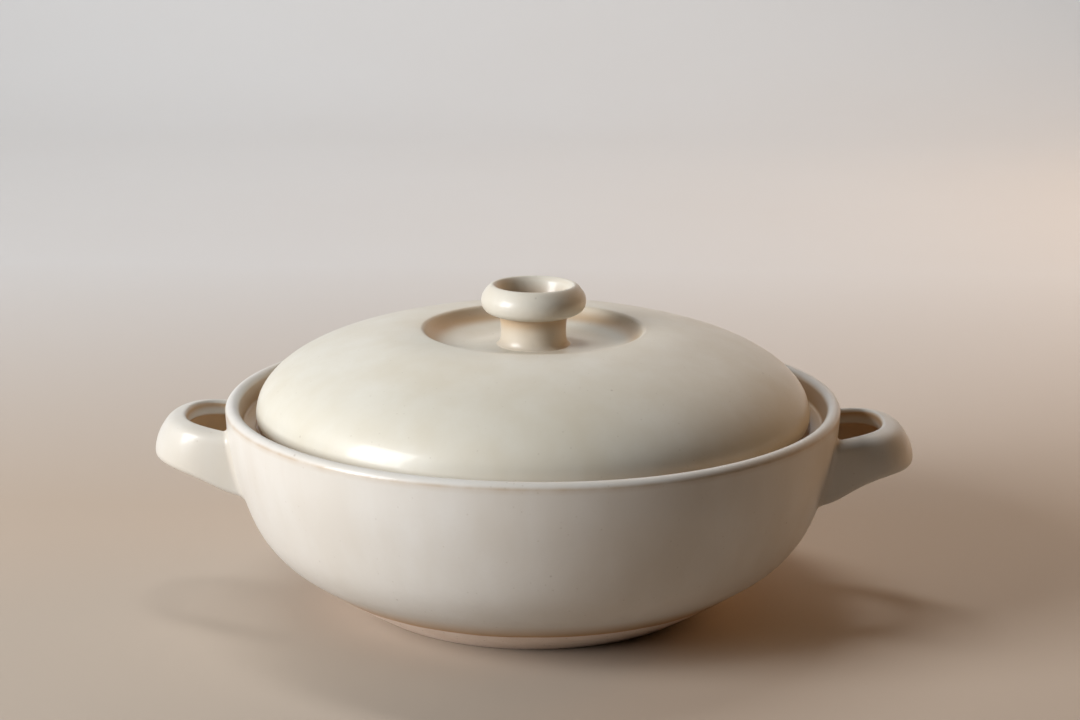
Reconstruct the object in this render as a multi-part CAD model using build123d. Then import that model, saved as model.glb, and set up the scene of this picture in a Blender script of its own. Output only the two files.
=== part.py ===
from build123d import *
import math
import os

# Covered stoneware casserole: a round coupe bowl with two closed loop handles and a domed lid with
# a hollow knob in a shallow dish. Millimetres, +Z up. The origin is the centre of the foot, on the
# surface that the bowl stands on. The two handles point along -X and +X.

# ---- bowl ----
RIM_R = 132.5           # outer radius at the rim
RIM_TOP = 89.5          # height of the rounded rim
WALL = 5.9              # thickness of the upright wall at the rim
FOOT_R = 72.6           # outer radius of the flat ring that the bowl stands on
FOOT_RING_W = 8.4       # width of that ring
FOOT_HOLLOW = 2.4       # depth of the hollow inside the ring
HOLLOW_SLOPE = 4.0      # how far the hollow's side leans in
FLOOR_Z = 9.6           # inside floor at the centre
LEDGE_Z = 80.0          # gallery ledge that carries the lid
LEDGE_IN_R = 112.4      # inner edge of the ledge
LEDGE_OUT_R = 125.2     # corner where the ledge meets the upright wall
LEDGE_LIP_R = 1.5       # rounding of the ledge's inner edge

# outside of the bowl under its belly, from the flat ring outwards
BOWL_UNDERSIDE = [
    (FOOT_R, 0.0),
    (79.3, 4.0),
    (86.0, 8.1),
    (92.4, 12.3),
    (99.2, 16.8),
    (106.0, 21.5),
    (112.2, 26.6),
]
BELLY_WAY = (0.70, 0.71)    # which way the wall runs where the underside ends
# outside of the bowl from there up to where the rim starts to round over
BOWL_SIDE = [
    BOWL_UNDERSIDE[-1],
    (119.6, 36.0),
    (124.6, 47.2),
    (128.6, 60.0),
    (131.4, 73.5),
    (RIM_R, RIM_TOP - WALL / 2),
]
# inside of the bowl under the ledge, from the ledge down to the flat of the floor
BOWL_INNER = [
    (LEDGE_IN_R, LEDGE_Z - 3.6),
    (116.6, 66.0),
    (117.6, 55.0),
    (114.2, 42.0),
    (106.0, 30.0),
    (92.0, 19.6),
    (72.0, 12.2),
    (46.0, FLOOR_Z),
]

# ---- lid ----
LID_R = 119.6           # largest radius of the lid
LID_EDGE_Z = 85.2       # height of that largest radius
LID_SEAT_R = 117.2      # outer edge of the flat ring under the lid
LID_SEAT_IN_R = 113.4   # inner edge of the flat ring under the lid
DISH_CREST_R = 48.9     # crest of the lid around the shallow dish in its top
DISH_CREST_Z = 120.0    # height of that crest
DISH_EDGE_R = 46.9      # edge where the crest drops into the dish
DISH_EDGE_Z = 118.9     # height of that edge
DISH_FLOOR_Z = 113.0    # flat middle of the dish, which carries the knob
DISH_FLAT_R = 30.0      # radius of that flat
LID_INNER_TOP = 106.6   # underside of the lid at the centre

# rounded edge of the lid, from the seat up to its largest radius
LID_EDGE = [
    (LID_SEAT_R, LEDGE_Z),
    (119.2, 82.2),
    (LID_R, LID_EDGE_Z),
]

# top of the lid, from its largest radius in to the crest just outside the dish
LID_DOME = [
    (LID_R, LID_EDGE_Z),
    (118.2, 91.0),
    (113.0, 98.6),
    (104.0, 105.4),
    (92.0, 111.0),
    (76.0, 116.0),
    (61.0, 119.1),
    (DISH_CREST_R, DISH_CREST_Z),
]
# side of the dish, from its edge down to the flat middle
DISH_SIDE = [
    (DISH_EDGE_R, DISH_EDGE_Z),
    (44.9, 116.4),
    (41.0, 114.3),
    (36.0, 113.3),
    (DISH_FLAT_R, DISH_FLOOR_Z),
]
# underside of the lid, from the seat in to the flat middle
LID_UNDER = [
    (LID_SEAT_IN_R, LEDGE_Z),
    (111.4, 87.0),
    (104.6, 95.2),
    (92.0, 103.0),
    (74.0, 108.8),
    (58.0, 110.8),
    (44.0, 109.4),
    (30.0, 107.2),
    (18.0, LID_INNER_TOP),
]

# ---- knob ----
KNOB_TOP = 139.0        # crest of the knob's rim
KNOB_R = 22.5           # widest radius of the knob's head
KNOB_R_Z = 132.0        # height of that radius
KNOB_CREST_R = 17.2     # radius of the crest
KNOB_MOUTH_R = 15.6     # mouth of the cup in the head
KNOB_MOUTH_Z = 137.3    # height of that mouth
KNOB_NECK_R = 14.6      # corner where the head meets the stem
KNOB_NECK_Z = 125.6
KNOB_FOOT_R = 16.0      # small flare where the stem meets the lid
CUP_FLOOR_Z = 119.0     # bottom of the cup inside the knob

# outside of the head, from the mouth of its cup over the crest and under to the stem
KNOB_HEAD = [
    (KNOB_MOUTH_R, KNOB_MOUTH_Z),
    (KNOB_CREST_R, KNOB_TOP),
    (20.9, 136.4),
    (KNOB_R, KNOB_R_Z),
    (21.3, 128.4),
    (18.0, 126.5),
    (KNOB_NECK_R, KNOB_NECK_Z),
]
# outside of the stem, from the head down to its foot
KNOB_STEM = [
    (KNOB_NECK_R, KNOB_NECK_Z),
    (14.1, 121.0),
    (14.1, 117.0),
    (14.7, 114.5),
    (KNOB_FOOT_R, DISH_FLOOR_Z),
]
# inside of the cup, from its floor up to the mouth
KNOB_CUP = [
    (0.0, CUP_FLOOR_Z),
    (6.0, 119.9),
    (9.8, 123.4),
    (12.6, 129.6),
    (KNOB_MOUTH_R, KNOB_MOUTH_Z),
]

# ---- handles ----
# stations along one half of a loop, from inside the wall round to the outer end: x and y of the
# crest of the bar, height of its top and of its underside, its width at the top and at the bottom,
# and how far the outer side bulges. The side towards the finger hole is upright.
HANDLE_STATIONS = [
    (119.0, 28.4, 77.6, 50.4, 7.6, 8.2, 0.6),
    (129.0, 27.4, 78.6, 52.8, 7.2, 7.8, 0.6),
    (138.0, 25.6, 79.9, 56.8, 7.2, 8.6, 0.8),
    (146.2, 21.5, 80.9, 59.8, 7.4, 10.4, 1.2),
    (151.6, 14.8, 81.3, 61.0, 7.6, 12.6, 1.6),
    (154.0, 7.4, 81.4, 61.3, 7.8, 14.2, 1.9),
    (154.6, 0.0, 81.4, 61.4, 7.8, 14.6, 2.0),
]
HANDLE_TOP_ROUND = 0.42     # rounding of the top corners, as a share of the top width
HANDLE_LOW_ROUND = 0.33     # rounding of the bottom corners, as a share of the bottom width
# the right handle is a little more hollow underneath: how much higher its underside is, by station
LEFT_LIFT = [0.0, 0.0, 0.0, 0.0, 0.0, 0.0, 0.0]
RIGHT_LIFT = [-0.4, 0.0, 1.3, 1.7, 1.2, 0.9, 0.8]


def bowl_outside():
    """Outer line of the bowl, from the flat ring up over the rounded rim."""
    lip_z = RIM_TOP - WALL / 2
    underside = Spline(*BOWL_UNDERSIDE, tangents=[(0.86, 0.51), BELLY_WAY])
    side = Spline(*BOWL_SIDE, tangents=[BELLY_WAY, (0.08, 1.0)])
    lip = ThreePointArc((RIM_R, lip_z), (RIM_R - WALL / 2, RIM_TOP), (RIM_R - WALL, lip_z))
    return [underside, side, lip]


def bowl_body():
    rise = LEDGE_LIP_R * (1 - math.sqrt(0.5))
    ring_in = FOOT_R - FOOT_RING_W
    inside = [
        Line((RIM_R - WALL, RIM_TOP - WALL / 2), (LEDGE_OUT_R, LEDGE_Z)),
        Line((LEDGE_OUT_R, LEDGE_Z), (LEDGE_IN_R + LEDGE_LIP_R, LEDGE_Z)),
        ThreePointArc(
            (LEDGE_IN_R + LEDGE_LIP_R, LEDGE_Z),
            (LEDGE_IN_R + rise, LEDGE_Z - rise),
            (LEDGE_IN_R, LEDGE_Z - LEDGE_LIP_R),
        ),
        Line((LEDGE_IN_R, LEDGE_Z - LEDGE_LIP_R), BOWL_INNER[0]),
        Spline(*BOWL_INNER, tangents=[(0.0, -1.0), (-1.0, 0.0)]),
        Line(BOWL_INNER[-1], (0.0, FLOOR_Z)),
        Line((0.0, FLOOR_Z), (0.0, FOOT_HOLLOW)),
        Line((0.0, FOOT_HOLLOW), (ring_in - HOLLOW_SLOPE, FOOT_HOLLOW)),
        Line((ring_in - HOLLOW_SLOPE, FOOT_HOLLOW), (ring_in, 0.0)),
        Line((ring_in, 0.0), (FOOT_R, 0.0)),
    ]
    return revolve(Plane.XZ * make_face(bowl_outside() + inside), Axis.Z)


def bowl_solid():
    """The bowl's outer shape without its hollow, which the handles are cut to."""
    closing = [
        Line((RIM_R - WALL, RIM_TOP - WALL / 2), (0.0, RIM_TOP - WALL / 2)),
        Line((0.0, RIM_TOP - WALL / 2), (0.0, 0.0)),
        Line((0.0, 0.0), (FOOT_R, 0.0)),
    ]
    return revolve(Plane.XZ * make_face(bowl_outside() + closing), Axis.Z)


def handle_section(station, direction):
    """One upright rounded section of a handle's bar, square to the way the bar runs."""
    x, y, top, bottom, top_width, low_width, bulge = station
    heading = math.atan2(direction[1], direction[0])
    plane = Plane(
        origin=(x, y, 0.0),
        x_dir=(-math.sin(heading), math.cos(heading), 0.0),
        z_dir=(math.cos(heading), math.sin(heading), 0.0),
    )
    inner = -top_width / 2
    low_outer = inner + low_width
    high_outer = inner + top_width
    sides = [
        Line((inner, bottom), (low_outer, bottom)),
        ThreePointArc(
            (low_outer, bottom),
            ((low_outer + high_outer) / 2 + bulge, (bottom + top) / 2),
            (high_outer, top),
        ),
        Line((high_outer, top), (inner, top)),
        Line((inner, top), (inner, bottom)),
    ]
    face = make_face(sides)
    low = face.vertices().sort_by(Axis.Y)[:2]
    face = fillet(low, low_width * HANDLE_LOW_ROUND)
    high = face.vertices().sort_by(Axis.Y)[-2:]
    face = fillet(high, top_width * HANDLE_TOP_ROUND)
    return plane * face


def handle(lifts):
    """A loop handle on the +X side, cut to the outside of the bowl."""
    half = []
    for station, lift in zip(HANDLE_STATIONS, lifts):
        x, y, top, bottom, top_width, low_width, bulge = station
        half.append((x, y, top, bottom + lift, top_width, low_width, bulge))
    mirrored = [(s[0], -s[1]) + s[2:] for s in reversed(half[:-1])]
    stations = half + mirrored
    sections = []
    for i, station in enumerate(stations):
        before = stations[max(i - 1, 0)]
        after = stations[min(i + 1, len(stations) - 1)]
        sections.append(handle_section(station, (after[0] - before[0], after[1] - before[1])))
    return loft(sections) - bowl_solid()


def lid_dome():
    dome = Spline(*LID_DOME)
    roll = TangentArc(dome @ 1, DISH_SIDE[0], tangent=dome % 1)
    side = Spline(*DISH_SIDE, tangents=[roll % 1, (-1.0, 0.0)])
    dish = Line(DISH_SIDE[-1], (0.0, DISH_FLOOR_Z))
    axis = Line((0.0, DISH_FLOOR_Z), (0.0, LID_INNER_TOP))
    middle = Line((0.0, LID_INNER_TOP), LID_UNDER[-1])
    under = Spline(*reversed(LID_UNDER), tangents=[(1.0, 0.0), (0.1, -1.0)])
    seat = Line(LID_UNDER[0], LID_EDGE[0])
    edge = Spline(*LID_EDGE, tangents=[(1.0, 0.5), (0.0, 1.0)])
    outline = make_face([dome, roll, side, dish, axis, middle, under, seat, edge])
    return revolve(Plane.XZ * outline, Axis.Z)


def lid_knob():
    head = Spline(*KNOB_HEAD)
    stem = Spline(*KNOB_STEM, tangents=[(-0.15, -1.0), (1.0, -0.7)])
    foot = Line(KNOB_STEM[-1], (0.0, DISH_FLOOR_Z))
    axis = Line((0.0, DISH_FLOOR_Z), (0.0, CUP_FLOOR_Z))
    cup = Spline(*KNOB_CUP, tangents=[(1.0, 0.0), (0.4, 1.0)])
    return revolve(Plane.XZ * make_face([head, stem, foot, axis, cup]), Axis.Z)


def main():
    os.makedirs("parts", exist_ok=True)
    nodes = {
        "bowl_body": bowl_body(),
        "handle_left": handle(LEFT_LIFT).rotate(Axis.Z, 180),
        "handle_right": handle(RIGHT_LIFT),
        "lid_dome": lid_dome(),
        "lid_knob": lid_knob(),
    }
    for name, shape in nodes.items():
        box = shape.bounding_box()
        print(name, "solids", len(shape.solids()), "volume", round(shape.volume),
              "min", [round(v, 2) for v in box.min], "max", [round(v, 2) for v in box.max])
        export_step(shape, f"parts/{name}.step")


main()
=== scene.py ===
import bmesh
import bpy
import math
import numpy as np
from mathutils import Matrix, Vector


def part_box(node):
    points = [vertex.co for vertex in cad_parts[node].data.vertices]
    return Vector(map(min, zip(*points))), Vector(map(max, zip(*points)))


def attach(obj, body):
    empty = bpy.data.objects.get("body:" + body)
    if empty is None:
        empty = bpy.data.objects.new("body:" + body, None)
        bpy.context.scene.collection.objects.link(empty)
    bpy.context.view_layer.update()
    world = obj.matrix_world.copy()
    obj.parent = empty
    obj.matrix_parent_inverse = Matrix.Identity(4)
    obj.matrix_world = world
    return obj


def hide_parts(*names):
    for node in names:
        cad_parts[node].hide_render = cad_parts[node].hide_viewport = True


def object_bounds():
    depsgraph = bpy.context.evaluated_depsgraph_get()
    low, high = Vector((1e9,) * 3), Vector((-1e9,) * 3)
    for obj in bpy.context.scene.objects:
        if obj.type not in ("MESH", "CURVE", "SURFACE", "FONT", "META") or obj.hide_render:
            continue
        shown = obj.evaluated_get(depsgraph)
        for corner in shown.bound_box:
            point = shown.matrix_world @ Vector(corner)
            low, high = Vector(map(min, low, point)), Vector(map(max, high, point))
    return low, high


# Covered stoneware casserole in satin cream glaze. The bowl, its two loop handles, the lid and the
# lid's hollow knob each have one piece here, which stands for the CAD node of the same part.

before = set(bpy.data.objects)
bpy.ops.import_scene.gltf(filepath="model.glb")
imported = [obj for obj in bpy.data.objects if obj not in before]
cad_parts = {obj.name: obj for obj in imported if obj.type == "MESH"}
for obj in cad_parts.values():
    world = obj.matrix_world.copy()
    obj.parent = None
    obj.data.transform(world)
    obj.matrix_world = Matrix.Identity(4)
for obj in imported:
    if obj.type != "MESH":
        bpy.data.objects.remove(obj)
cad_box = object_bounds()

# ---- sizes, in millimetres of the dish at its built size ----
RIM_R = 132.5
bowl_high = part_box("bowl_body")[1]
lid_low, lid_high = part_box("lid_dome")
knob_low, knob_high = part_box("lid_knob")
MM = bowl_high.x / RIM_R                # a millimetre of the dish in scene units

RIM_TOP = bowl_high.z / MM
LEDGE_Z = lid_low.z / MM                # the lid rests on the ledge
LID_R = lid_high.x / MM
CREST_Z = lid_high.z / MM
DISH_Z = knob_low.z / MM                # the knob stands in the dish on the lid
KNOB_R = knob_high.x / MM
KNOB_TOP = knob_high.z / MM

WALL = 5.9                              # across the rim, whose top is half round
LIP_Z = RIM_TOP - WALL / 2
BELLY = (112.2, 26.6)                   # where the underside of the bowl runs into its side
FOOT_R = 72.6
RING_IN_R = 64.2                        # the dish stands on a flat ring from here out to FOOT_R
HOLLOW_R = 60.2                         # and is a little hollow inside it
HOLLOW_Z = 2.4
FLOOR_R = 46.0
FLOOR_Z = 9.6
LEDGE_IN_R = 112.4
LEDGE_OUT_R = 125.2
LEDGE_LOW_Z = LEDGE_Z - 3.6             # the inside of the bowl starts here, under the ledge
LEDGE_EDGE = 1.5                        # sizes of the rounds at the ledge's edge and its corner
LEDGE_CORNER = 1.4

GIRTH_Z = 85.2                          # where the lid is widest
SEAT_IN_R = 113.4                       # the lid stands on a ring between these two
SEAT_OUT_R = 117.2
UNDER_R = 18.0                          # the lid's underside is flat inside this radius
UNDER_Z = 106.6
CREST_R = 48.9                          # the dome ends in a crest, which rolls over into the dish
DISH_EDGE = (46.9, 118.9)
DISH_R = 30.0                           # the dish is flat inside this radius

NECK = (14.6, 125.6)                    # where the knob's stem meets its head
KNOB_LIP = (15.6, KNOB_TOP - 1.7)       # where its head meets the cup inside
KNOB_FOOT_R = 16.0
KNOB_SUNK = 0.3                         # how far its foot goes into the lid
CUP_Z = 119.0

GLAZE_STOP_R = 119.6                    # the ledge is bare clay inside this radius
GLAZE_STOP_Z = 13.2                     # and the outside is bare clay below this height
SEAT_BARE_Z = LEDGE_Z + 1.2             # as is the edge that the lid stands on

ROUND_STEPS = 320                       # faces round the bowl and the lid
KNOB_STEPS = 200


# ---- curves ----
def unit(v):
    v = np.array(v, float)
    return v / np.linalg.norm(v)


def spline_slopes(p, t, start, end):
    """Slopes at the points of a cubic through them, with free ends where no direction is given."""
    n = len(p)
    h = np.diff(t)
    a = np.zeros((n, n))
    b = np.zeros(p.shape)
    for i in range(1, n - 1):
        a[i, i - 1:i + 2] = h[i], 2 * (h[i - 1] + h[i]), h[i - 1]
        b[i] = 3 * (h[i] * (p[i] - p[i - 1]) / h[i - 1] + h[i - 1] * (p[i + 1] - p[i]) / h[i])
    for row, side, way, step in ((0, 1, start, p[1] - p[0]), (n - 1, n - 2, end, p[-1] - p[-2])):
        span = h[0] if row == 0 else h[-1]
        a[row, row] = 1 if way is not None else 2
        if way is None:
            a[row, side] = 1
            b[row] = 3 * step / span
        else:
            b[row] = unit(way)
    return np.linalg.solve(a, b)


class Curve:
    """A smooth curve through points, asked for by how far along it is, from 0 to length.

    The distance along it is measured in the first two columns of the points. Any more columns are
    values that change smoothly with them."""

    def __init__(self, points, start=None, end=None):
        self.p = np.array(points, float)
        gaps = np.linalg.norm(np.diff(self.p[:, :2], axis=0), axis=1)
        self.t = np.concatenate([[0.0], np.cumsum(gaps)])
        self.m = spline_slopes(self.p, self.t, start, end)
        self.length = self.t[-1]

    def at(self, t):
        t = np.atleast_1d(np.clip(t, 0.0, self.length))
        i = np.clip(np.searchsorted(self.t, t, side="right") - 1, 0, len(self.t) - 2)
        h = (self.t[i + 1] - self.t[i])[:, None]
        u = (t - self.t[i])[:, None] / h
        p0, p1, m0, m1 = self.p[i], self.p[i + 1], self.m[i] * h, self.m[i + 1] * h
        return ((2 * u**3 - 3 * u**2 + 1) * p0 + (u**3 - 2 * u**2 + u) * m0
                + (3 * u**2 - 2 * u**3) * p1 + (u**3 - u**2) * m1)

    def points(self, gap):
        count = max(2, int(round(self.length / gap)))
        return self.at(np.linspace(0.0, self.length, count + 1))


def line(a, b, gap):
    a, b = np.array(a, float), np.array(b, float)
    count = max(1, int(round(np.linalg.norm(b - a) / gap)))
    return a + (b - a) * np.linspace(0.0, 1.0, count + 1)[:, None]


def bend(before, corner, after, size, steps=6):
    """A rounded corner, whose curve starts and ends at size from the corner."""
    corner = np.array(corner, float)
    a = corner + unit(np.array(before, float) - corner) * size
    b = corner + unit(np.array(after, float) - corner) * size
    u = np.linspace(0.0, 1.0, steps + 1)[:, None]
    return (1 - u)**2 * a + 2 * u * (1 - u) * corner + u**2 * b


def bezier(a, b, c, d, steps=8):
    """A cubic that leaves a towards b and comes into d from c."""
    u = np.linspace(0.0, 1.0, steps + 1)[:, None]
    return (1 - u)**3 * a + 3 * u * (1 - u)**2 * b + 3 * u**2 * (1 - u) * c + u**3 * d


SAME_SPOT = 0.02                        # points nearer than this become one


def joined(*runs):
    """One line of points from runs that may share their end points."""
    every = np.vstack(runs)
    keep = [0]
    for i in range(1, len(every)):
        if np.linalg.norm(every[i] - every[keep[-1]]) > SAME_SPOT:
            keep.append(i)
    return every[keep]


# ---- meshes ----
def make_piece(name, verts, faces, marks):
    """A smooth mesh from points in millimetres, with one number per point for each of marks."""
    mesh = bpy.data.meshes.new(name)
    mesh.from_pydata([tuple(v * MM) for v in verts], [], faces)
    for mark, values in marks.items():
        mesh.attributes.new(mark, "FLOAT", "POINT").data.foreach_set("value", np.float32(values))
    build = bmesh.new()
    build.from_mesh(mesh)
    bmesh.ops.recalc_face_normals(build, faces=build.faces)
    build.to_mesh(mesh)
    build.free()
    mesh.shade_smooth()
    piece = bpy.data.objects.new(name, mesh)
    bpy.context.scene.collection.objects.link(piece)
    return piece


def band_faces(rings, steps):
    """Four-sided faces between closed rings of steps points each."""
    faces = []
    for i in range(rings - 1):
        for j in range(steps):
            k = (j + 1) % steps
            faces.append((i * steps + j, i * steps + k, (i + 1) * steps + k, (i + 1) * steps + j))
    return faces


def lathe(name, outline, steps, marks, shape):
    """Turns an outline of (radius, height), whose two ends are on the axis, round the Z axis.

    shape moves the points a little, as a hand-finished piece isn't perfectly round."""
    inner = outline[1:-1]
    angles = np.arange(steps) * 2 * math.pi / steps
    rings = np.zeros((len(inner), steps, 3))
    rings[:, :, 0] = inner[:, 0:1] * np.cos(angles)
    rings[:, :, 1] = inner[:, 0:1] * np.sin(angles)
    rings[:, :, 2] = inner[:, 1:2]
    verts = shape(rings.reshape(-1, 3))
    poles = [[0.0, 0.0, outline[0, 1]], [0.0, 0.0, outline[-1, 1]]]
    verts = np.vstack([verts, poles])
    faces = band_faces(len(inner), steps)
    first, last = len(verts) - 2, len(verts) - 1
    end = (len(inner) - 1) * steps
    for j in range(steps):
        k = (j + 1) % steps
        faces.append((first, k, j))
        faces.append((last, end + j, end + k))
    full = {}
    for mark, values in marks.items():
        per_ring = np.repeat(values[1:-1], steps)
        full[mark] = np.concatenate([per_ring, [values[0], values[-1]]])
    return make_piece(name, verts, faces, full)


# ---- shares, from 0 to 1 ----
def hump(values, middle, width):
    """1 at middle, fading smoothly to almost nothing two widths away."""
    return np.exp(-((values - middle) / width)**2)


def around(outline, spot, width):
    """A hump round one spot (radius, height) of an outline."""
    return hump(np.hypot(*(outline - spot).T), 0.0, width)


def rise(values, start, end):
    """0 at start and 1 at end, straight in between."""
    return np.clip((values - start) / (end - start), 0, 1)


def fade(values, start, end):
    """1 at start and 0 at end, straight in between."""
    return rise(values, end, start)


def past_peak(values):
    """1 for the points of an outline that come after its greatest value, and 0 up to there."""
    return (np.arange(len(values)) > np.argmax(values)).astype(float)


def polar(v):
    return np.arctan2(v[:, 1], v[:, 0]), np.hypot(v[:, 0], v[:, 1])


# ---- bowl ----
BELLY_WAY = (0.70, 0.71)                # the outline's direction at that point
UNDERSIDE = Curve([
    (FOOT_R, 0.0), (79.3, 4.0), (86.0, 8.1), (92.4, 12.3), (99.2, 16.8), (106.0, 21.5),
    BELLY,
], (0.86, 0.51), BELLY_WAY)
SIDE = Curve([
    BELLY, (119.6, 36.0), (124.6, 47.2), (128.6, 60.0), (131.4, 73.5), (RIM_R, LIP_Z),
], BELLY_WAY, (0.08, 1))
INSIDE = Curve([
    (LEDGE_IN_R, LEDGE_LOW_Z), (116.6, 66.0), (117.6, 55.0), (114.2, 42.0), (106.0, 30.0),
    (92.0, 19.6), (72.0, 12.2), (FLOOR_R, FLOOR_Z),
], (0, -1), (-1, 0))


def rim_arc(steps=22):
    """The half round of the rim, from its inner side to its outer side."""
    u = np.linspace(0.0, math.pi, steps + 1)
    middle = RIM_R - WALL / 2
    return np.column_stack([middle - np.cos(u) * WALL / 2, LIP_Z + np.sin(u) * WALL / 2])


def bowl_outline():
    """From the middle of the floor up the inside, over the rim and down to the middle of the foot."""
    lip_in = (RIM_R - WALL, LIP_Z)
    corner = (LEDGE_OUT_R, LEDGE_Z)
    edge = (LEDGE_IN_R, LEDGE_Z)
    below = (LEDGE_IN_R, LEDGE_LOW_Z)
    underside = UNDERSIDE.points(1.2)
    foot_corner = (FOOT_R, 0.0)
    ring_corner = (RING_IN_R, 0.0)
    hollow_corner = (HOLLOW_R, HOLLOW_Z)
    return joined(
        line((0.0, FLOOR_Z), (FLOOR_R, FLOOR_Z), 4.0),
        INSIDE.points(2.2)[::-1],
        bend(below, edge, corner, LEDGE_EDGE),
        line((LEDGE_IN_R + LEDGE_EDGE, LEDGE_Z), (LEDGE_OUT_R - LEDGE_CORNER, LEDGE_Z), 1.6),
        bend(edge, corner, lip_in, LEDGE_CORNER),
        rim_arc(),
        SIDE.points(2.0)[::-1],
        underside[:0:-1],
        bend(underside[1], foot_corner, ring_corner, 0.9),
        bend(foot_corner, ring_corner, hollow_corner, 0.8),
        bend(ring_corner, hollow_corner, (0.0, HOLLOW_Z), 1.2),
        line((HOLLOW_R - 1.6, HOLLOW_Z), (0.0, HOLLOW_Z), 5.0),
    )


def bowl_marks(outline):
    """Where the glaze is thin, where painted shade tints it brown in the gallery under the rim and above
    the foot, and which side is the outside.
    """
    radius, height = outline.T
    outside = past_peak(height)
    inside = 1 - outside
    shoulder = around(outline, (RIM_R - 0.25, RIM_TOP - 2.4), 0.7)
    ledge_edge = around(outline, (LEDGE_IN_R + 0.4, LEDGE_Z - 0.4), 1.2)
    over_ledge = (radius > LEDGE_IN_R) * (height > LEDGE_Z - 1)
    # painted shade: the gallery wall under the rim and the underside just above the foot are tinted
    # brown, standing in for shade and warm bounce light
    gallery = fade(height, RIM_TOP - 4.0, RIM_TOP - 0.8) * over_ledge
    low = fade(height, GLAZE_STOP_Z, GLAZE_STOP_Z + 9.5)**1.2
    return {
        "thin": outside * shoulder + inside * ledge_edge,
        "painted_shade": inside * 0.80 * gallery + outside * 0.97 * low,
        "outside": outside,
    }


def bowl_shape(v):
    """Slightly out of round at the rim and the belly, and true where the lid and the table touch."""
    angle, radius = polar(v)
    height = v[:, 2]
    outer = rise(radius, LEDGE_OUT_R + 0.5, LEDGE_OUT_R + 3.5) * rise(height, 20.0, 60.0)
    drift = 0.16 * np.sin(2 * angle + 0.7) + 0.09 * np.sin(5 * angle + height / 23 + 1.9)
    dip = 0.14 * np.sin(3 * angle + 2.2) + 0.07 * np.sin(7 * angle + 0.4) - 0.12
    grow = 1 + outer * drift / np.maximum(radius, 1.0)
    rim = rise(height, LIP_Z - 2.0, LIP_Z + 1.0)
    return np.column_stack([v[:, 0] * grow, v[:, 1] * grow, height + rim * dip])


# ---- lid ----
DOME = Curve([
    (LID_R, GIRTH_Z), (118.2, 91.0), (113.0, 98.6), (104.0, 105.4), (92.0, 111.0), (76.0, 116.0),
    (61.0, 119.1), (CREST_R, CREST_Z),
])
DISH = Curve([
    DISH_EDGE, (44.9, 116.4), (41.0, 114.3), (36.0, 113.3), (DISH_R, DISH_Z),
], (-0.5, -0.86), (-1, 0))
UNDER = Curve([
    (UNDER_R, UNDER_Z), (30.0, 107.2), (44.0, 109.4), (58.0, 110.8), (74.0, 108.8), (92.0, 103.0),
    (104.6, 95.2), (111.4, 87.0), (SEAT_IN_R, LEDGE_Z),
], (1, 0), (0.1, -1))
EDGE = Curve([(SEAT_OUT_R, LEDGE_Z), (119.2, 82.2), (LID_R, GIRTH_Z)], (1, 0.5), (0, 1))


def crest_roll(dome, dish):
    """The tight roll from the end of the dome over into the dish."""
    crest, dish_edge = dome[-1], dish[0]
    way = unit(crest - dome[-2])
    drop = unit(dish[1] - dish_edge)
    reach = np.linalg.norm(dish_edge - crest) * 0.33
    return bezier(crest, crest + way * reach, dish_edge - drop * reach, dish_edge)


def lid_outline():
    """From the middle of the underside out over the seat, and back over the top to the middle."""
    dome = DOME.points(1.9)
    dish = DISH.points(0.9)
    under = UNDER.points(2.0)
    seat_in = (SEAT_IN_R, LEDGE_Z)
    seat_out = (SEAT_OUT_R, LEDGE_Z)
    return joined(
        line((0.0, UNDER_Z), (UNDER_R, UNDER_Z), 3.0),
        under[:-1],
        bend(under[-2], seat_in, seat_out, 0.7, 4),
        line((SEAT_IN_R + 0.8, LEDGE_Z), (SEAT_OUT_R - 0.3, LEDGE_Z), 0.9),
        EDGE.points(0.6)[1:],
        dome,
        crest_roll(dome, dish),
        dish,
        line((DISH_R, DISH_Z), (0.0, DISH_Z), 2.0),
    )


def lid_marks(outline):
    """The glaze is thin on the crest; painted shade tints the side of the dish and the edge by the seat
    brown.
    """
    radius, height = outline.T
    top = past_peak(radius)
    return {
        "thin": 0.35 * top * around(outline, (CREST_R - 1.1, CREST_Z - 0.4), 0.8),
        # painted shade: brown down the side of the dish and on the edge that sits down in the gallery
        "painted_shade": top * 0.62 * hump(radius, 43.6, 3.6) + 0.4 * fade(height, LEDGE_Z, LEDGE_Z + 5.0),
    }


def lid_shape(v):
    """A trace of waviness over the dome, none at the seat, the dish or the middle."""
    angle, radius = polar(v)
    height = v[:, 2]
    dome = rise(radius, 50.0, 75.0) * rise(height, LEDGE_Z + 8.0, LEDGE_Z + 18.0)
    wave = 0.10 * np.sin(3 * angle + radius / 17) + 0.07 * np.sin(5 * angle - radius / 11 + 1.2)
    return np.column_stack([v[:, 0], v[:, 1], height + dome * wave])


# ---- knob ----
KNOB_HEAD = Curve([
    KNOB_LIP, (17.2, KNOB_TOP), (20.9, 136.4), (KNOB_R, 132.0), (21.3, 128.4), (18.0, 126.5), NECK,
])
KNOB_STEM = Curve([
    NECK, (14.1, 121.0), (14.1, 117.0), (14.6, 114.6), (KNOB_FOOT_R, DISH_Z),
], (-0.15, -1), (1, -0.4))
KNOB_CUP = Curve([
    (0.0, CUP_Z), (6.0, 119.9), (9.8, 123.4), (12.6, 129.6), KNOB_LIP,
], (1, 0), (0.4, 1))


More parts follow.
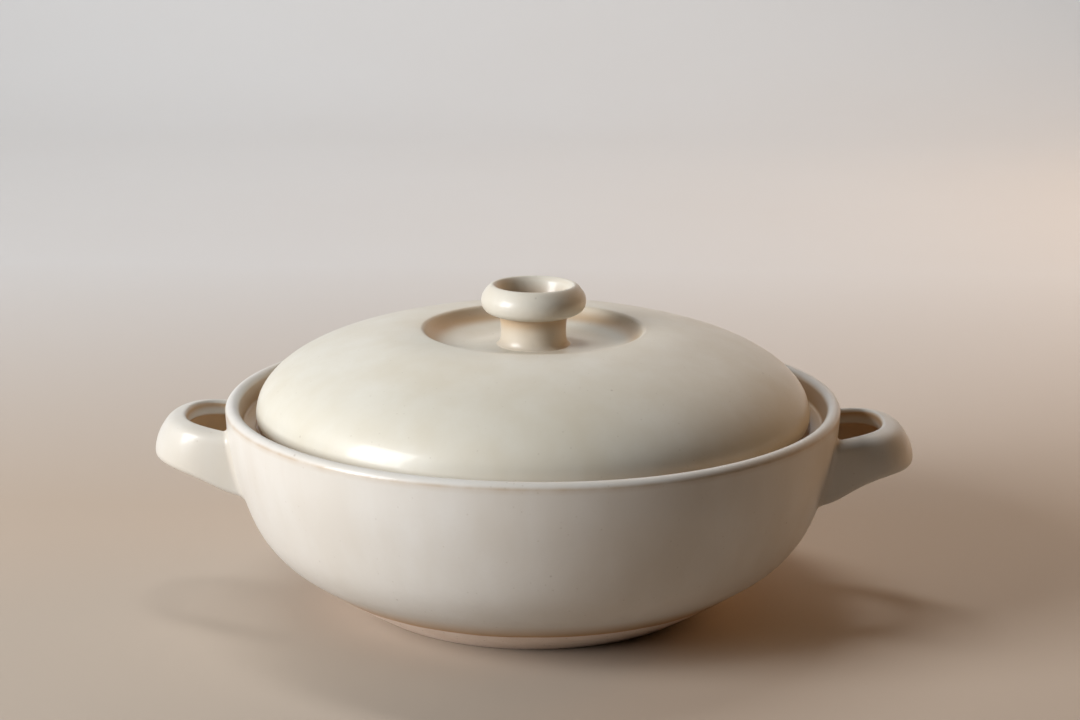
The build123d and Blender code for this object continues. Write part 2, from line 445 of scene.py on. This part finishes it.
def knob_outline():
    """From the middle of the cup over the head and down the stem to the middle of the foot."""
    head = KNOB_HEAD.points(0.5)
    stem = KNOB_STEM.points(0.5)
    before_lip = KNOB_CUP.at(KNOB_CUP.length - 1.2)[0]
    after_lip = KNOB_HEAD.at(1.2)[0]
    sunk = DISH_Z - KNOB_SUNK
    return joined(
        KNOB_CUP.points(0.55)[:-2],
        bend(before_lip, KNOB_LIP, after_lip, 0.5, 4),
        head[2:-3],
        bend(head[-3], head[-1], stem[2], 0.8, 5),
        stem[3:],
        line((KNOB_FOOT_R, DISH_Z), (KNOB_FOOT_R, sunk), KNOB_SUNK),
        line((KNOB_FOOT_R, sunk), (0.0, sunk), 3.0),
    )


def knob_marks(outline):
    """The glaze is thin at the mouth of the cup; painted shade tints the cup inside, the stem and most of
    all the neck under the head brown.
    """
    radius, height = outline.T
    outside = past_peak(height)
    # painted shade and warm bounce light: on the whole stem, strongest under the head, and deep in the
    # cup
    stem = outside * (radius < 18) * (0.22 + 0.42 * hump(height, 124.5, 3.2))
    cup = (1 - outside) * fade(height, 124.0, 137.0)
    return {
        "thin": 0.3 * around(outline, (KNOB_LIP[0] + 0.4, KNOB_TOP - 0.8), 0.9),
        "painted_shade": stem + 0.9 * cup,
    }


def knob_shape(v):
    """The head is slightly out of round."""
    angle = polar(v)[0]
    head = rise(v[:, 2], 122.0, 130.0)
    grow = 1 + head * (0.004 * np.sin(2 * angle + 1.1) + 0.003 * np.sin(3 * angle))
    return np.column_stack([v[:, 0] * grow, v[:, 1] * grow, v[:, 2]])


# ---- handles ----
# along half a loop, from inside the wall to the outer end: x and y of the crest of the bar, height
# of its top and underside, its width at the top and at the bottom, and the outer side's bulge
STATIONS = [
    (119.0, 28.4, 77.6, 50.4, 7.6, 8.2, 0.6),
    (129.0, 27.4, 78.6, 52.8, 7.2, 7.8, 0.6),
    (138.0, 25.6, 79.9, 56.8, 7.2, 8.6, 0.8),
    (146.2, 21.5, 80.9, 59.8, 7.4, 10.4, 1.2),
    (151.6, 14.8, 81.3, 61.0, 7.6, 12.6, 1.6),
    (154.0, 7.4, 81.4, 61.3, 7.8, 14.2, 1.9),
    (154.6, 0.0, 81.4, 61.4, 7.8, 14.6, 2.0),
]
LEFT_LIFT = [0.0] * len(STATIONS)       # how much higher the underside is, by station
RIGHT_LIFT = [-0.4, 0.0, 1.3, 1.7, 1.2, 0.9, 0.8]
BAR_STEPS = 96                          # points round the bar
LOOP_STEPS = 97                         # sections along it
FINE_STEPS = 241                        # sections from which those are worked out
CROWDED = 1.7                           # how much the sections crowd towards the wall
ROLL_DOWN = 7.0                         # height of the rolled edge round the finger gap
ROLL_DEEP = 2.2                         # how far the bar is hollowed under that edge
CREST_FALL = 1.4                        # how much lower the bar's top is on its outer side
SLIP_OUT = 2.2                          # size of the slip fillet where the bar meets the wall
SLIP_IN = 1.8                           # and inside the finger gap
BURY = 0.35                             # how far the bar's ends go into the wall
LEAN_STEP = 0.5                         # height over which the wall's lean is taken


def wall_at(z):
    """Radius of the bowl's outside at heights z, and how much it leans."""
    radii, heights = np.vstack([UNDERSIDE.points(0.5), SIDE.points(0.5)[1:]]).T
    radius = np.interp(z, heights, radii)
    above = np.interp(z + LEAN_STEP, heights, radii)
    return radius, (above - radius) / LEAN_STEP


def off_wall(p):
    """How far the points p are outside the bowl's wall."""
    radius, lean = wall_at(p[..., 2])
    return (np.hypot(p[..., 0], p[..., 1]) - radius) / np.sqrt(1 + lean**2)


def bar_section(top, bottom, top_width, low_width, bulge):
    """BAR_STEPS points (across, up) of the bar's section, starting low on its inner side."""
    inner = -top_width / 2
    under = inner + ROLL_DEEP
    low_out, high_out = inner + low_width, inner + top_width
    middle = (low_out + high_out) / 2 + bulge
    roll_low = top - ROLL_DOWN
    start = np.array([under, (roll_low + bottom) / 2])
    corners = [
        ((under, bottom), 0.28 * low_width),
        ((low_out, bottom), 0.40 * low_width),
        ((middle, (top + bottom) / 2), 0.30 * (top - bottom)),
        ((high_out, top - CREST_FALL), 0.62 * top_width),
        ((inner, top), 1.8),
        ((inner, roll_low), 1.3),
        ((under, roll_low - 0.4), 1.3),
    ]
    spots = [start] + [np.array(c) for c, _ in corners] + [start]
    sides = np.linalg.norm(np.diff(spots, axis=0), axis=1)
    runs = [start[None]]
    for i, (corner, size) in enumerate(corners):
        room = 0.48 * min(sides[i], sides[i + 1])       # so that two rounds never meet
        runs.append(bend(spots[i], corner, spots[i + 2], min(size, room), 10))
    ring = joined(*runs, start[None])
    gaps = np.linalg.norm(np.diff(ring, axis=0), axis=1)
    along = np.concatenate([[0.0], np.cumsum(gaps)])
    at = np.arange(BAR_STEPS) * along[-1] / BAR_STEPS
    even = np.column_stack([np.interp(at, along, ring[:, k]) for k in (0, 1)])
    for _ in range(3):
        even = 0.25 * np.roll(even, 1, axis=0) + 0.5 * even + 0.25 * np.roll(even, -1, axis=0)
    return even


def loop_path(lifts):
    """The bar's line and the sizes of its section, all the way round one loop."""
    half = [(x, y, top, low + lift, wide, foot, bulge)
            for (x, y, top, low, wide, foot, bulge), lift in zip(STATIONS, lifts)]
    return Curve(half + [(s[0], -s[1]) + s[2:] for s in reversed(half[:-1])])


def bar_grid(rows):
    """The points of the bar's sections at rows of a path, and the way out of the bar at each."""
    ways = np.gradient(rows[:, :2], axis=0)
    ways /= np.linalg.norm(ways, axis=1)[:, None]
    grid = np.zeros((len(rows), BAR_STEPS, 3))
    push = np.zeros_like(grid)
    for i, row in enumerate(rows):
        ring = bar_section(*row[2:])
        out = np.array([-ways[i, 1], ways[i, 0]])
        grid[i, :, :2] = row[:2] + ring[:, 0:1] * out
        grid[i, :, 2] = ring[:, 1]
        ahead = np.roll(ring, -1, axis=0) - np.roll(ring, 1, axis=0)
        normal = np.column_stack([ahead[:, 1], -ahead[:, 0]])
        normal /= np.linalg.norm(normal, axis=1)[:, None]
        push[i, :, :2] = normal[:, 0:1] * out
        push[i, :, 2] = normal[:, 1]
    return grid, push


def wall_crossings(gap, along):
    """Where one long line of the bar comes out of the wall, and where it goes back in."""
    clear = gap + BURY > 0
    first = np.argmax(clear)
    last = len(along) - 1 - np.argmax(clear[::-1])
    ends = []
    for a, b in ((first - 1, first), (last + 1, last)):
        u = (gap[a] + BURY) / (gap[a] - gap[b])
        ends.append(along[a] + (along[b] - along[a]) * u)
    return ends


def flare(spot, way, size):
    """Moves points near the wall outwards, as wiped slip fills the corner between bar and wall."""
    radial = spot * [1, 1, 0]
    radial /= np.linalg.norm(radial, axis=1)[:, None]
    lean = wall_at(spot[:, 2])[1]
    across = radial - lean[:, None] * [0, 0, 1]
    across /= np.linalg.norm(across, axis=1)[:, None]
    way = way - across * np.sum(way * across, axis=1)[:, None]
    way /= np.maximum(np.linalg.norm(way, axis=1), 0.3)[:, None]
    left = size - np.clip(off_wall(spot), 0.0, size)
    return spot + way * (size - np.sqrt(size**2 - left**2))[:, None]


def handle_marks(verts, gap_side):
    """Painted shade tints brown the rolled edge round the finger gap, the hollow under it and the joint
    with the wall.
    """
    heights = verts[:, :, 2]
    down = (np.max(heights, axis=1)[:, None] - heights).ravel()
    inside = np.tile(gap_side, len(verts))
    joint = fade(off_wall(verts).ravel(), 0.0, 3.0)
    hollow = inside * rise(down, ROLL_DOWN - 1.0, ROLL_DOWN)
    edge = inside * hump(down, 2.0, 1.6)
    # painted shade: brown on the roll round the finger gap, darker in the hollow under it, faint at the
    # joint with the wall
    painted_shade = np.clip(0.07 * joint + 0.75 * edge + 0.85 * hollow, 0, 0.85)
    return {"thin": np.zeros(len(painted_shade)), "painted_shade": painted_shade}


def handle_mesh(name, lifts, side):
    """A closed loop whose ends flare out into the wall like wiped slip. side is 1 for +X."""
    path = loop_path(lifts)
    along = np.linspace(0.0, path.length, FINE_STEPS)
    grid, push = bar_grid(path.at(along))
    gap = off_wall(grid)
    gap_side = push[FINE_STEPS // 2, :, 0] < -0.5       # the lines that face the finger gap
    share = np.linspace(-1.0, 1.0, LOOP_STEPS)
    share = np.sign(share) * (1 - (1 - np.abs(share))**CROWDED)
    verts = np.zeros((LOOP_STEPS, BAR_STEPS, 3))
    for j in range(BAR_STEPS):
        start, end = wall_crossings(gap[:, j], along)
        at = (start + end) / 2 + share * (end - start) / 2
        spot = np.column_stack([np.interp(at, along, grid[:, j, k]) for k in range(3)])
        way = np.column_stack([np.interp(at, along, push[:, j, k]) for k in range(3)])
        verts[:, j] = flare(spot, way, SLIP_IN if gap_side[j] else SLIP_OUT)
    faces = band_faces(LOOP_STEPS, BAR_STEPS)
    faces.append(tuple(range(BAR_STEPS)))
    faces.append(tuple(reversed(range((LOOP_STEPS - 1) * BAR_STEPS, LOOP_STEPS * BAR_STEPS))))
    points = verts.reshape(-1, 3) * [side, side, 1]
    return make_piece(name, points, faces, handle_marks(verts, gap_side))


# ---- materials ----
# how fine the textures are, in cells to the metre
CLOUDS = 16.0                           # broad drifts of thicker and thinner glaze
WAVES = 38.0
RUNS = 75.0
RUN_STRETCH = (1, 1, 0.3)               # the runs are longer downwards
THIN_BREAKS = 120.0                     # where a thin edge of glaze breaks off
LARGE_SPECKS = 95.0
FINE_SPECKS = 330.0
GRAIN = 420.0
PEEL = 520.0
CLAY_DRIFTS = 55.0
CLAY_GRIT = 420.0
SAND = 900.0
RAGGED = 90.0                           # the edge where the glaze stops
RAGGED_MM = 1.3
RELIEF = 0.00007                        # metres of relief for a surface height of 1


class Graph:
    """Short calls for building a node material."""

    def __init__(self, name):
        self.material = bpy.data.materials.new(name)
        self.material.use_nodes = True
        self.tree = self.material.node_tree
        self.shader = self.tree.nodes["Principled BSDF"]

    def add(self, kind, sockets, **settings):
        node = self.tree.nodes.new(kind)
        for key, value in settings.items():
            setattr(node, key, value)
        for key, value in sockets.items():
            self.put(node.inputs[key], value)
        return node

    def put(self, socket, value):
        if isinstance(value, bpy.types.NodeSocket):
            self.tree.links.new(value, socket)
        else:
            socket.default_value = value

    def math(self, operation, a, b=0.0, clamp=False):
        return self.add("ShaderNodeMath", {0: a, 1: b}, operation=operation, use_clamp=clamp).outputs[0]

    def noise(self, where, scale, detail=2.0, rough=0.5):
        sockets = {"Vector": where, "Scale": scale, "Detail": detail, "Roughness": rough}
        return self.add("ShaderNodeTexNoise", sockets).outputs["Fac"]

    def ramp(self, value, low, high, to_low=0.0, to_high=1.0):
        """value from low to high, spread evenly over to_low to to_high and held beyond."""
        sockets = {"Value": value, "From Min": low, "From Max": high, "To Min": to_low, "To Max": to_high}
        return self.add("ShaderNodeMapRange", sockets, clamp=True).outputs["Result"]

    def mix(self, share, a, b):
        """Colour a with share of it replaced by colour b. Sockets 6 and 7 are the colours' own."""
        return self.add("ShaderNodeMix", {0: share, 6: a, 7: b}, data_type="RGBA").outputs[2]

    def mark(self, name):
        return self.add("ShaderNodeAttribute", {}, attribute_name=name).outputs["Fac"]

    def specks(self, where, scale, size, share):
        """Round dots in about share of the cells of a loose grid."""
        cells = self.add("ShaderNodeTexVoronoi", {"Vector": where, "Scale": scale})
        dot = self.ramp(cells.outputs["Distance"], size, size * 0.45)
        pick = self.add("ShaderNodeSeparateColor", {"Color": cells.outputs["Color"]}).outputs[0]
        return self.math("MULTIPLY", dot, self.math("LESS_THAN", pick, share))


GLAZE_LIGHT = (0.650, 0.630, 0.592, 1)
GLAZE_WARM = (0.600, 0.565, 0.510, 1)
HANDLE_LIGHT = (0.600, 0.580, 0.540, 1)
HANDLE_WARM = (0.560, 0.520, 0.450, 1)
KNOB_WARM = (0.600, 0.550, 0.460, 1)
LID_LIGHT = (0.655, 0.630, 0.555, 1)
LID_WARM = (0.600, 0.555, 0.455, 1)
THIN_GLAZE = (0.44, 0.33, 0.22, 1)
# brown of the painted shade in hollows, creases, the gallery and under the dish
PAINTED_SHADE = (0.44, 0.255, 0.095, 1)
GLAZE_END = (0.50, 0.24, 0.08, 1)        # the thin line where the glaze stops
SPECK = (0.22, 0.165, 0.12, 1)
PALE_SPECK = (0.36, 0.30, 0.23, 1)
CLAY = (0.86, 0.75, 0.67, 1)
CLAY_DARK = (0.78, 0.64, 0.54, 1)


def glaze_colour(g, where, clouds, grain, light, warm):
    """Cream, warmer in drifts and runs, tan where it is thin, and brown where shade is painted in."""
    stretched = g.add("ShaderNodeMapping", {"Vector": where, "Scale": RUN_STRETCH}).outputs[0]
    runs = g.noise(stretched, RUNS, 3.0)
    tone = g.math("ADD", g.math("MULTIPLY", clouds, 0.62), g.math("MULTIPLY", runs, 0.38))
    colour = g.mix(g.ramp(tone, 0.36, 0.66), light, warm)
    colour = g.mix(g.ramp(grain, 0.35, 0.75, 0.0, 0.16), colour, warm)
    breaks = g.ramp(g.noise(where, THIN_BREAKS, 3.0), 0.3, 0.65, 0.45, 1.0)
    thin = g.math("MULTIPLY", g.mark("thin"), breaks)
    colour = g.mix(g.math("MULTIPLY", thin, 0.8), colour, THIN_GLAZE)
    # painted shade: brown mixed in where the shade mark says
    return g.mix(g.mark("painted_shade"), colour, PAINTED_SHADE)


def glaze(name, light, warm, bare=None):
    """Satin cream glaze over speckled stoneware. bare says where the clay is left unglazed."""
    g = Graph(name)
    where = g.add("ShaderNodeTexCoord", {}).outputs["Object"]
    clouds = g.noise(where, CLOUDS, 3.0)
    grain = g.noise(where, GRAIN, 2.0)
    colour = glaze_colour(g, where, clouds, grain, light, warm)
    fine = g.specks(where, FINE_SPECKS, 0.16, 0.20)
    large = g.specks(where, LARGE_SPECKS, 0.065, 0.32)
    colour = g.mix(g.math("MULTIPLY", fine, 0.26), colour, PALE_SPECK)
    colour = g.mix(g.math("MULTIPLY", large, 0.34), colour, SPECK)
    rough = g.ramp(clouds, 0.3, 0.7, 0.35, 0.42)
    rough = g.math("ADD", rough, g.math("MULTIPLY", grain, 0.05))
    pits = g.math("ADD", g.math("MULTIPLY", fine, -0.35), g.math("MULTIPLY", large, -0.6))
    waves = g.math("MULTIPLY", g.noise(where, WAVES, 1.0), 1.3)
    peel = g.math("MULTIPLY", g.noise(where, PEEL, 2.0), 0.22)
    height = g.math("ADD", g.math("ADD", waves, peel), pits)
    if bare:
        clay, share, sand = bare_clay(g, where, bare)
        colour = g.mix(share, colour, clay)
        line = g.math("MULTIPLY", share, g.math("SUBTRACT", 1.0, share))
        colour = g.mix(g.math("MULTIPLY", line, 3.4, clamp=True), colour, GLAZE_END)
        rough = g.math("ADD", rough, g.math("MULTIPLY", share, 0.42), clamp=True)
        sunk = g.math("MULTIPLY", g.math("SUBTRACT", sand, 3.0), share)
        height = g.math("ADD", height, sunk)
    bump = g.add("ShaderNodeBump", {"Height": height, "Strength": 1.0, "Distance": RELIEF})
    g.put(g.shader.inputs["Base Color"], colour)
    g.put(g.shader.inputs["Roughness"], rough)
    g.put(g.shader.inputs["Normal"], bump.outputs["Normal"])
    g.shader.inputs["IOR"].default_value = 1.45
    g.shader.inputs["Coat Weight"].default_value = 0.20
    g.shader.inputs["Coat Roughness"].default_value = 0.09
    return g.material


def bare_clay(g, where, bare):
    """The bare clay's colour, where it shows, and the height of its sandy surface.

    bare gets the height, and the height and the radius again with a ragged change in them."""
    parts = g.add("ShaderNodeSeparateXYZ", {"Vector": where})
    height = g.math("DIVIDE", parts.outputs["Z"], MM)
    square = g.math("ADD", *(g.math("POWER", parts.outputs[axis], 2.0) for axis in "XY"))
    radius = g.math("DIVIDE", g.math("SQRT", square), MM)
    ragged = g.math("SUBTRACT", g.noise(where, RAGGED, 3.0), 0.5)
    ragged = g.math("MULTIPLY", ragged, RAGGED_MM)
    share = bare(g, height, g.math("ADD", height, ragged), g.math("ADD", radius, ragged))
    sand = g.noise(where, SAND, 2.0, 0.6)
    grit = g.specks(where, CLAY_GRIT, 0.2, 0.3)
    clay = g.mix(g.ramp(g.noise(where, CLAY_DRIFTS, 4.0), 0.35, 0.7), CLAY, CLAY_DARK)
    clay = g.mix(g.ramp(sand, 0.45, 0.8, 0.0, 0.3), clay, CLAY_DARK)
    clay = g.mix(g.math("MULTIPLY", grit, 0.5), clay, SPECK)
    return clay, share, g.math("MULTIPLY", sand, 2.2)


def bowl_bare(g, level, height, radius):
    """The foot, its ring and its hollow, and the ledge under the lid."""
    low = g.ramp(height, GLAZE_STOP_Z + 0.5, GLAZE_STOP_Z - 0.5)
    foot = g.math("MULTIPLY", g.mark("outside"), low)
    ledge = g.math("MULTIPLY", g.ramp(radius, GLAZE_STOP_R + 0.2, GLAZE_STOP_R - 0.2),
                   g.ramp(level, LEDGE_Z - 2.4, LEDGE_Z - 1.9))
    return g.math("MAXIMUM", foot, ledge)


def lid_bare(g, level, height, radius):
    """The edge that the lid stands on."""
    return g.ramp(height, SEAT_BARE_Z + 0.2, SEAT_BARE_Z - 0.2)


def paper(name, near, far):
    """Pale matt paper, warm near the dish and grey behind it, with paper's faint unevenness."""
    g = Graph(name)
    where = g.add("ShaderNodeTexCoord", {}).outputs["Object"]
    back = g.add("ShaderNodeSeparateXYZ", {"Vector": where}).outputs["Y"]
    colour = g.mix(g.ramp(back, 0.12, 0.7), near, far)
    uneven = g.ramp(g.noise(where, 3.0, 3.0), 0.3, 0.7, 0.0, 0.06)
    g.put(g.shader.inputs["Base Color"], g.mix(uneven, colour, near))
    g.shader.inputs["Roughness"].default_value = 0.8
    g.shader.inputs["Specular IOR Level"].default_value = 0.15
    return g.material


# ---- the dish ----
bowl_line = bowl_outline()
lid_line = lid_outline()
knob_line = knob_outline()
bowl = lathe("bowl", bowl_line, ROUND_STEPS, bowl_marks(bowl_line), bowl_shape)
lid = lathe("lid", lid_line, ROUND_STEPS, lid_marks(lid_line), lid_shape)
knob = lathe("knob", knob_line, KNOB_STEPS, knob_marks(knob_line), knob_shape)
left = handle_mesh("left_handle", LEFT_LIFT, -1)
right = handle_mesh("right_handle", RIGHT_LIFT, 1)

bowl_glaze = glaze("cream_glaze_bowl", GLAZE_LIGHT, GLAZE_WARM, bowl_bare)
handle_glaze = glaze("cream_glaze_handles", HANDLE_LIGHT, HANDLE_WARM)
lid_glaze = glaze("ivory_glaze_lid", LID_LIGHT, LID_WARM, lid_bare)
knob_glaze = glaze("cream_glaze_knob", LID_LIGHT, KNOB_WARM)
for piece, material, body, node, slot in (
    (bowl, bowl_glaze, "bowl", "bowl_body", "bowl_glaze"),
    (left, handle_glaze, "bowl", "handle_left", "handle_glaze"),
    (right, handle_glaze, "bowl", "handle_right", "handle_glaze"),
    (lid, lid_glaze, "lid", "lid_dome", "lid_glaze"),
    (knob, knob_glaze, "lid", "lid_knob", "knob_glaze"),
):
    piece.data.materials.append(material)
    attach(piece, body)
    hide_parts(node)

# ---- floor and backdrop ----
FLOOR_HALF = 3.2                        # metres
SWEEP_START = 1.3
SWEEP_SIZE = 0.9
BACK_TOP = 2.6
PAPER_NEAR = (0.46, 0.385, 0.315, 1)    # the floor round the dish
PAPER_FAR = (0.60, 0.60, 0.60, 1)       # and the backdrop


def sweep():
    """A floor that curves up into a backdrop behind the dish."""
    turn = np.linspace(0.0, math.pi / 2, 25)
    outline = [(-FLOOR_HALF, 0.0)]
    outline += [(SWEEP_START + SWEEP_SIZE * math.sin(u), SWEEP_SIZE * (1 - math.cos(u))) for u in turn]
    outline.append((SWEEP_START + SWEEP_SIZE, BACK_TOP))
    verts = [(x, y, z) for y, z in outline for x in (-FLOOR_HALF, FLOOR_HALF)]
    faces = [(2 * i, 2 * i + 1, 2 * i + 3, 2 * i + 2) for i in range(len(outline) - 1)]
    mesh = bpy.data.meshes.new("studio_floor")
    mesh.from_pydata(verts, [], faces)
    mesh.shade_smooth()
    mesh.materials.append(paper("studio_paper", PAPER_NEAR, PAPER_FAR))
    floor = bpy.data.objects.new("studio_floor", mesh)
    bpy.context.scene.collection.objects.link(floor)


sweep()


# ---- light ----
DAYLIGHT = (0.965, 0.98, 1.0)
WALL_LIGHT = (0.97, 0.985, 1.0)
LAMPLIGHT = (1.0, 0.58, 0.27)
ROOM_GLOW = (1.0, 0.76, 0.54, 1)
ROOM_STRENGTH = 0.018


def area_light(name, place, aim, width, height, power, colour):
    """A rectangular lamp that the camera doesn't see, aimed at a point."""
    lamp = bpy.data.lights.new(name, "AREA")
    lamp.shape = "RECTANGLE"
    lamp.size = width
    lamp.size_y = height
    lamp.energy = power
    lamp.color = colour
    holder = bpy.data.objects.new(name, lamp)
    holder.location = place
    holder.rotation_euler = (Vector(aim) - Vector(place)).to_track_quat("-Z", "Y").to_euler()
    holder.visible_camera = False
    bpy.context.scene.collection.objects.link(holder)
    return holder


middle = Vector((0.0, 0.0, (cad_box[0][2] + cad_box[1][2]) / 2))
area_light("window", (-1.40, -0.72, 0.66), middle, 0.75, 0.9, 40.0, DAYLIGHT)
wash = area_light("wall_wash", (-0.5, 0.9, 2.2), (0.3, 2.2, 0.7), 1.6, 0.8, 40.0, WALL_LIGHT)
fill = area_light("warm_fill", (1.15, 0.85, 0.60), middle, 0.9, 0.6, 9.0, LAMPLIGHT)
for lamp in (wash, fill):
    lamp.visible_glossy = False         # they light the dish softly, and aren't mirrored in it

world = bpy.data.worlds.new("soft_fill")
world.use_nodes = True
glow = world.node_tree.nodes["Background"]
glow.inputs["Color"].default_value = ROOM_GLOW
glow.inputs["Strength"].default_value = ROOM_STRENGTH
bpy.context.scene.world = world
bpy.context.scene.view_settings.view_transform = "Standard"

# ---- camera ----
CAMERA_AWAY = 1.0392                    # metres in front of the dish's axis
CAMERA_UP = 0.3629
CAMERA_ASIDE = 0.0114
ROUND = math.radians(1.3)               # how far round the dish the camera stands
YAW = math.radians(0.47)
TILT = math.radians(13.91)
ROLL = math.radians(0.33)
SENSOR = 36.0                           # millimetres
LENS = 82.6

camera_data = bpy.data.cameras.new("camera")
camera_data.sensor_width = SENSOR
camera_data.lens = LENS
camera_data.clip_end = 50.0
camera = bpy.data.objects.new("camera", camera_data)
bpy.context.scene.collection.objects.link(camera)
camera.matrix_world = (
    Matrix.Rotation(ROUND, 4, "Z")
    @ Matrix.Translation((CAMERA_ASIDE, -CAMERA_AWAY, CAMERA_UP))
    @ Matrix.Rotation(YAW, 4, "Z")
    @ Matrix.Rotation(math.pi / 2 - TILT, 4, "X")
    @ Matrix.Rotation(ROLL, 4, "Z")
)
bpy.context.scene.camera = camera
